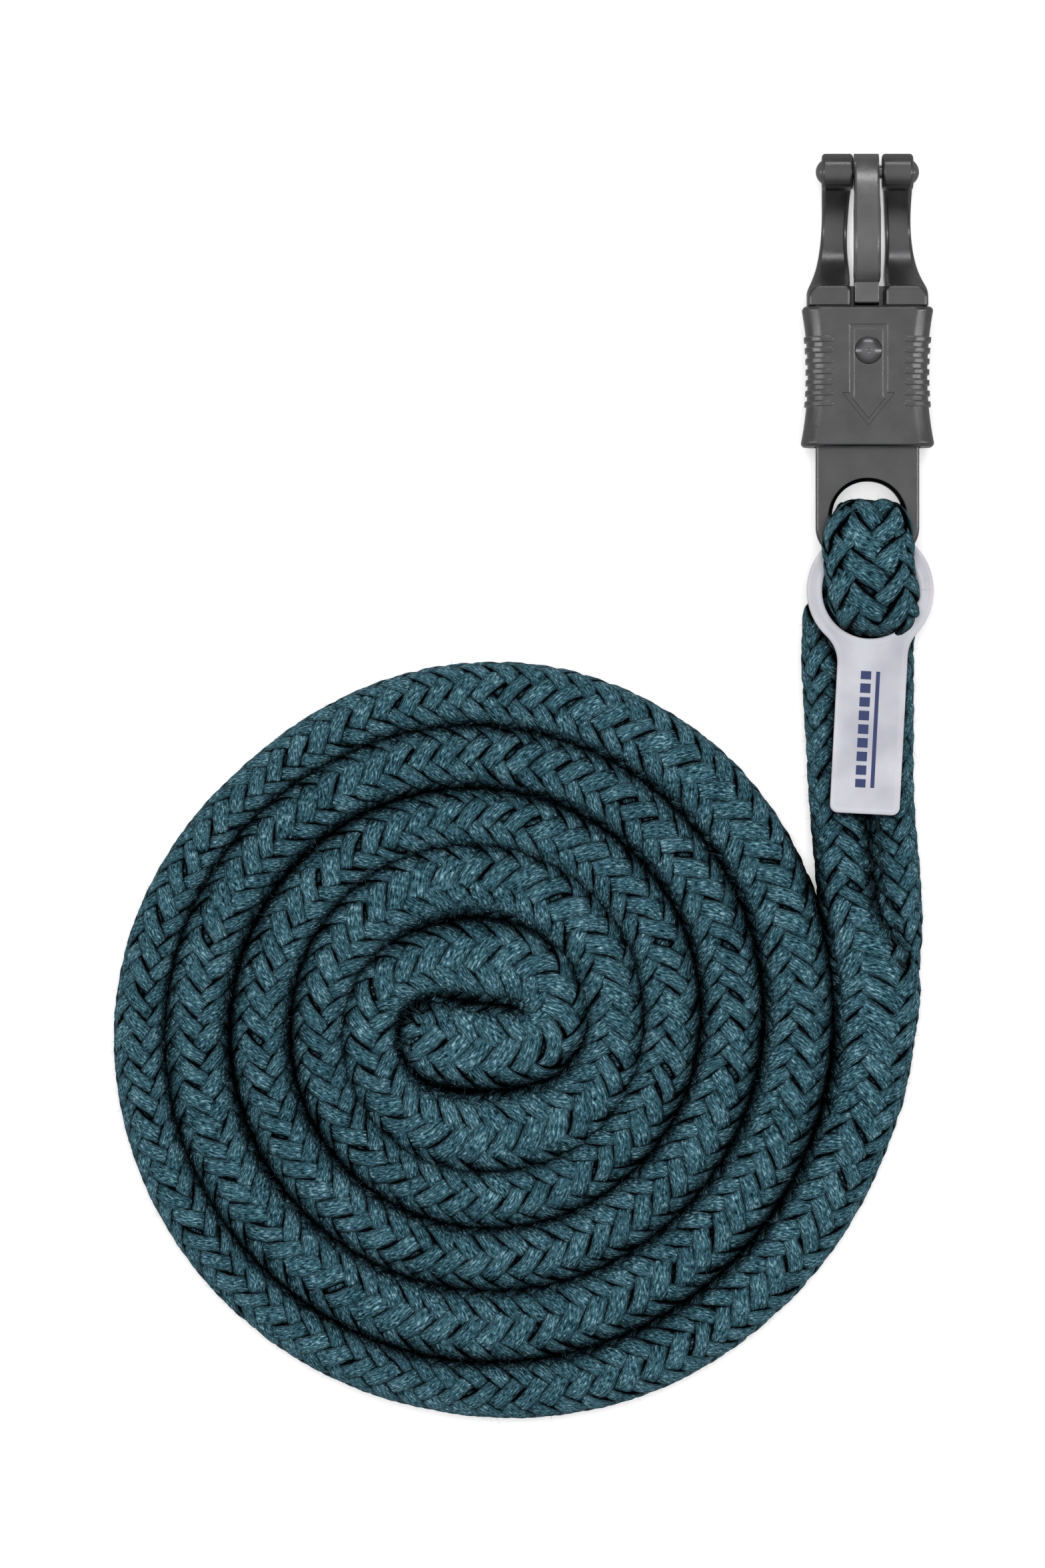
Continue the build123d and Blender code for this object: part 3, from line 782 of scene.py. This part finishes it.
def add_stage():
    """A white floor, the surround and a large soft light overhead."""
    mat, tree, shader = material("pale_floor")
    shader.inputs["Base Color"].default_value = (0.9, 0.9, 0.9, 1)
    shader.inputs["Roughness"].default_value = 0.9
    shader.inputs["Emission Color"].default_value = (1, 1, 1, 1)
    shader.inputs["Emission Strength"].default_value = 0.3
    floor = mesh_object(
        "floor", [(-4, -4, 0), (4, -4, 0), (4, 4, 0), (-4, 4, 0)], [(0, 1, 2, 3)]
    )
    floor.data.materials.append(mat)
    floor.location.z = -0.0002
    floor.visible_glossy = False
    add_world()
    area_light("overhead", (VIEW_X, VIEW_Y + 0.15, 2.6), (1.3, 1.3), 58, False)
    area_light("left_strip", (-1.3, 0.0, 0.7), (0.1, 1.2), 1.4, True)
    area_light("right_strip", (1.2, 0.0, 0.7), (0.1, 1.2), 1.4, True)
    area_light("rear_strip", (0.0, 1.3, 0.9), (1.2, 0.12), 1.6, True)
    bpy.context.scene.view_settings.view_transform = "Standard"


def dress_cad():
    """Better materials for the CAD pieces that stay in view."""
    # the second colour of each metal is its painted edge highlight
    gunmetal = metal_material("gunmetal", (0.23, 0.23, 0.235), (0.46, 0.46, 0.47), 0.27)
    polished = metal_material("finger_metal", (0.32, 0.32, 0.325), (0.55, 0.55, 0.56), 0.25)
    pin_steel = metal_material("pin_steel", (0.3, 0.3, 0.31), (0.5, 0.5, 0.51), 0.24)
    looks = {
        "snap_body": gunmetal, "hook_finger": polished, "release_sleeve": gunmetal,
        "hinge_pin": pin_steel, "sleeve_rivet": pin_steel, "tag": tag_material(),
    }
    for name, look in looks.items():
        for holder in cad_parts[name].material_slots:
            holder.material = look


def place_piece(piece, look, slot, *stands_for):
    """Gives a piece its look, sets it on the fixed body and hides the CAD parts that it stands for.
    """
    piece.data.materials.append(look)
    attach(piece, "root")
    if stands_for:
        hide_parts(*stands_for)


def add_rope():
    """The rope with its core, loose fibres and stitches."""
    rope, core, fuzz, line = build_rope()
    place_piece(
        rope, rope_material(), "rope_fibre", "rope_coil", "rope_lead", "rope_eye_loop", "rope_tail"
    )
    place_piece(core, core_material(), "rope_fibre")
    place_piece(fuzz, fuzz_material(), "rope_fibre")
    stitches = build_stitches(rope)
    place_piece(stitches, thread_material(), "thread", "splice_stitches")


def add_spring():
    """The return spring, coiled to fill the CAD spring's box."""
    spring, low, high = build_spring()
    # the second colour is the wire's painted edge highlight
    wire = metal_material("spring_wire", (0.45, 0.45, 0.46), (0.6, 0.6, 0.6), 0.28)
    place_piece(spring, wire, "spring_steel", "release_spring")
    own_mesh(spring)


def main():
    add_camera()
    add_rope()
    add_spring()
    dress_cad()
    add_stage()


main()
